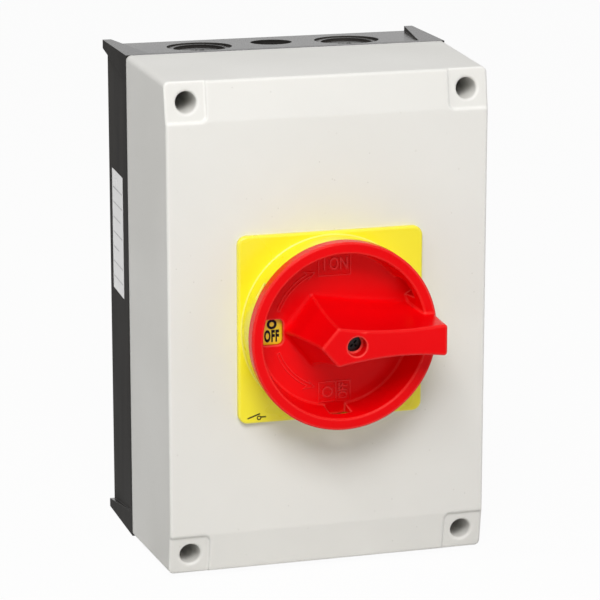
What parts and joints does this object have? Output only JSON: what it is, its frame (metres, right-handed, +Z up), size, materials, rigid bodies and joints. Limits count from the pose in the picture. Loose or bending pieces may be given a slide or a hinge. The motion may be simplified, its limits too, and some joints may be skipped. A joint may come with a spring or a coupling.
{
  "type": "rotary isolator switch",
  "caption": "Enclosed rotary isolator: grey cover on a black rear housing, red turning handle with padlock slots on a yellow plate, and a switch block inside.",
  "frame": {"origin": "centre of the flat back face, on the wall", "axes": "+Z up, the front faces -Y, +X to the right seen from the front"},
  "size_m": [0.16, 0.1645, 0.24],
  "materials": {
    "housing_black": "moulded black with a slight sheen",
    "housing_grey": "fine matt light warm grey",
    "seal_rubber": "soft black",
    "screw_steel": "zinc plated",
    "escutcheon_yellow": "signal yellow, satin",
    "handle_red": "signal red, satin gloss",
    "dark_screw": "black oxide",
    "coupler_plastic": "glass filled grey",
    "plated_steel": "zinc plated sheet and bar",
    "brass_metal": "plain drawn brass",
    "switch_plastic": "dark grey thermoset",
    "crank_plastic": "natural white nylon",
    "spring_steel": "bright spring strip",
    "carriage_plastic": "brown thermoset",
    "contact_metal": "silver faced copper alloy, pale"
  },
  "bodies": {
    "enclosure": {"rear_housing": "housing_black", "front_cover": "housing_grey", "cover_gasket": "seal_rubber", "cover_screws": "screw_steel", "escutcheon_plate": "escutcheon_yellow", "escutcheon_gasket": "seal_rubber", "escutcheon_screws": "screw_steel", "hub_seal": "seal_rubber", "mounting_plate": "plated_steel", "mounting_plate_screws": "screw_steel", "earth_bar": "brass_metal", "earth_bar_screws": "screw_steel", "switch_base": "switch_plastic", "switch_top": "switch_plastic", "switch_housing_screws": "screw_steel", "switch_fixing_screws": "screw_steel", "terminal_clamps": "plated_steel", "terminal_screws": "screw_steel", "index_spring_upper": "spring_steel", "index_spring_lower": "spring_steel", "line_contact_1": "contact_metal", "load_contact_1": "contact_metal", "line_contact_2": "contact_metal", "load_contact_2": "contact_metal", "line_contact_3": "contact_metal", "load_contact_3": "contact_metal", "line_contact_4": "contact_metal", "load_contact_4": "contact_metal"},
    "handle": {"handle_grip": "handle_red", "handle_screw": "dark_screw", "shaft_coupler": "coupler_plastic", "retaining_ring": "plated_steel"},
    "shaft": {"drive_shaft": "plated_steel", "crank_disc": "crank_plastic", "crank_pin": "plated_steel"},
    "carriage": {"contact_carriage": "carriage_plastic", "moving_contact_1": "contact_metal", "moving_contact_2": "contact_metal", "moving_contact_3": "contact_metal", "moving_contact_4": "contact_metal", "contact_spring_1": "spring_steel", "contact_spring_2": "spring_steel", "contact_spring_3": "spring_steel", "contact_spring_4": "spring_steel"}
  },
  "joints": [
    {"name": "handle_turn", "type": "hinge", "parent": "enclosure", "child": "handle", "pos_m": [0, -0.13, 0], "axis": [0, 1, 0], "range_deg": [0, 90]},
    {"name": "shaft_turn", "type": "hinge", "parent": "enclosure", "child": "shaft", "pos_m": [0, -0.06, 0], "axis": [0, 1, 0], "range_deg": [0, 90], "deforming": ["index_spring_upper", "index_spring_lower"]},
    {"name": "carriage_slide", "type": "slide", "parent": "enclosure", "child": "carriage", "axis": [1, 0, 0], "range_m": [0, 0.0099]}
  ],
  "couplings": [
    {"joint": "shaft_turn", "follows": "handle_turn", "ratio": 1},
    {"joint": "carriage_slide", "follows": "handle_turn", "m_per_rad": 0.006302}
  ]
}
